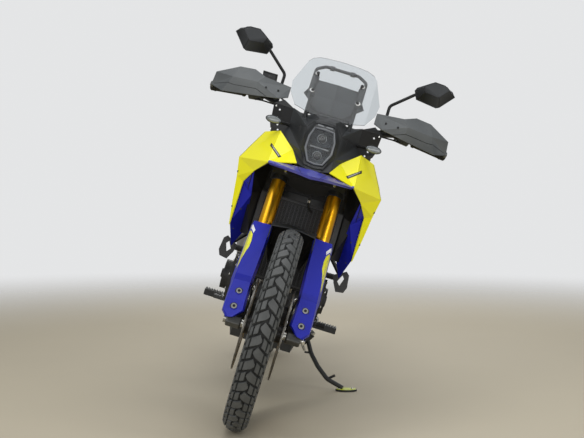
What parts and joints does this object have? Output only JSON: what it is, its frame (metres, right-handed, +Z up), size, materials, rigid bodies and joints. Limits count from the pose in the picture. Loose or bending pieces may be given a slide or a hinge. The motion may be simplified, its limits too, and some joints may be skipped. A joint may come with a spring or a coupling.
{
  "type": "adventure motorcycle",
  "caption": "Adventure motorcycle leaning on its side stand, with wheels that spin, steering, folding stand and fuel cap lid.",
  "frame": {"origin": "on the floor under the middle of the leaning machine's overall box", "axes": "+Z up from the floor, +Y to the machine's rear, +X to its left, towards which it leans"},
  "size_m": [1.0064, 2.3453, 1.4319],
  "materials": {
    "tyre": "matt black rubber",
    "gold_rim": "gold anodised",
    "steel": "ground steel",
    "black_metal": "satin black",
    "gold_fork": "gold anodised, satin",
    "cast_alloy": "cast and satin",
    "blue_plastic": "gloss blue",
    "yellow_plastic": "gloss lemon yellow",
    "yellow_paint": "gloss lemon yellow",
    "black_plastic": "grained black",
    "grey_plastic": "grained dark grey",
    "grip": "ribbed black",
    "seat": "black vinyl",
    "screen": "clear",
    "lens": "clear lens over a dark housing",
    "red_lens": "red lens",
    "amber_lens": "clear lens, dark stalk",
    "radiator": "black core",
    "chain": "oiled steel",
    "silencer": "satin steel, black end caps",
    "plate": "blank white"
  },
  "bodies": {
    "chassis": {"main_frame": "black_metal", "subframe": "black_metal", "engine": "black_metal", "engine_covers": "black_metal", "exhaust_pipe": "steel", "muffler": "silencer", "radiator": "radiator", "fuel_tank": "yellow_paint", "rider_seat": "seat", "pillion_seat": "seat", "tail_panels": "black_plastic", "rear_rack": "black_metal", "tail_light": "red_lens", "plate_bracket": "black_plastic", "number_plate": "plate", "swingarm": "cast_alloy", "rear_axle": "steel", "rear_shock": "steel", "drive_chain": "chain", "rear_hugger": "black_plastic", "rear_caliper": "black_metal", "footpegs": "steel", "foot_controls": "steel", "skid_plate": "black_plastic", "cowl_stay": "black_metal", "headlight_cowl": "black_plastic", "headlight": "lens", "windscreen": "screen", "instrument_panel": "grey_plastic", "accessory_bar": "black_metal", "beak": "blue_plastic", "inner_panels": "black_plastic", "upper_shrouds": "yellow_plastic", "lower_shrouds": "blue_plastic", "shroud_stays": "black_metal", "turn_signals": "amber_lens", "stand_bracket": "black_metal"},
    "steering": {"fork_clamps": "black_metal", "fork_tubes": "gold_fork", "fork_legs": "cast_alloy", "front_axle": "steel", "fork_guards": "blue_plastic", "front_fender": "grey_plastic", "front_calipers": "black_metal", "handlebar": "black_metal", "grips": "grip", "hand_controls": "black_plastic", "handguards": "grey_plastic", "mirrors": "black_plastic"},
    "front_wheel": {"front_tyre": "tyre", "front_rim": "gold_rim", "front_hub": "black_metal", "front_rotors": "steel"},
    "rear_wheel": {"rear_tyre": "tyre", "rear_rim": "gold_rim", "rear_hub": "black_metal", "rear_rotor": "steel", "rear_sprocket": "steel"},
    "side_stand": {"side_stand": "black_metal"},
    "fuel_cap": {"fuel_cap": "black_metal"}
  },
  "joints": [
    {"name": "steering_turn", "type": "hinge", "parent": "chassis", "child": "steering", "pos_m": [-0.06569, -0.49319, 0.80562], "axis": [0.2552, 0.4688, 0.8456], "range_deg": [-38, 38]},
    {"name": "front_wheel_spin", "type": "hinge", "parent": "steering", "child": "front_wheel", "pos_m": [-0.20775, -0.82504, 0.33482], "axis": [0.9573, 0.0002, -0.289], "continuous": true},
    {"name": "rear_wheel_spin", "type": "hinge", "parent": "chassis", "child": "rear_wheel", "pos_m": [-0.21549, 0.74498, 0.31045], "axis": [0.9573, 0.0002, -0.289], "continuous": true},
    {"name": "side_stand_fold", "type": "hinge", "parent": "chassis", "child": "side_stand", "pos_m": [-0.06211, -0.07499, 0.20195], "axis": [0.7553, -0.0525, 0.6532], "range_deg": [0, 92]},
    {"name": "fuel_cap_lid", "type": "hinge", "parent": "chassis", "child": "fuel_cap", "pos_m": [0.00304, -0.22467, 1.03349], "axis": [0.9573, 0.0002, -0.289], "range_deg": [0, 95]}
  ]
}
